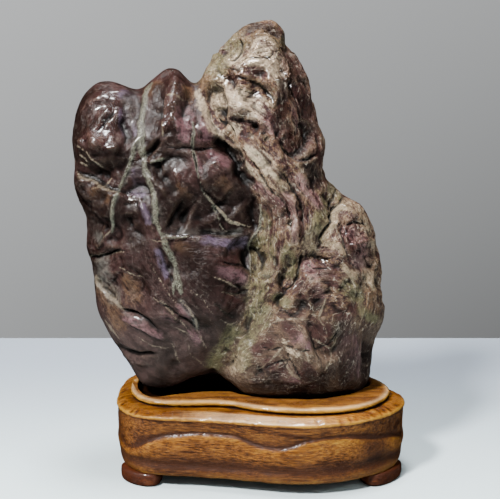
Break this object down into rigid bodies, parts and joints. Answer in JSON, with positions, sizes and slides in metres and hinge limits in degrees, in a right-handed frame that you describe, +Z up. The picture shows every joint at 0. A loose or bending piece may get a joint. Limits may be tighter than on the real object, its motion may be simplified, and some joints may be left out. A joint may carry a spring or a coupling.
{
  "type": "viewing stone on carved wooden stand",
  "caption": "Upright viewing stone with three summits, seated in a carved wooden stand that has a raised tier, a waved belly and corner feet.",
  "frame": {"origin": "middle of the bounding box's base, on the surface the feet stand on", "axes": "+Z up, along the stone's height; +X to the viewer's right and -Y towards the viewer, seen from the stone's front"},
  "size_m": [0.1825, 0.0962, 0.2489],
  "materials": {
    "stone": "natural stone, waxed to a soft gloss",
    "stained_wood": "amber stain under gloss varnish",
    "foot_wood": "red-brown stain under gloss varnish"
  },
  "bodies": {
    "root": {"stone": "stone", "stand": "stained_wood", "foot_front_left": "foot_wood", "foot_front_right": "foot_wood", "foot_back_right": "foot_wood", "foot_back_left": "foot_wood"}
  },
  "joints": []
}
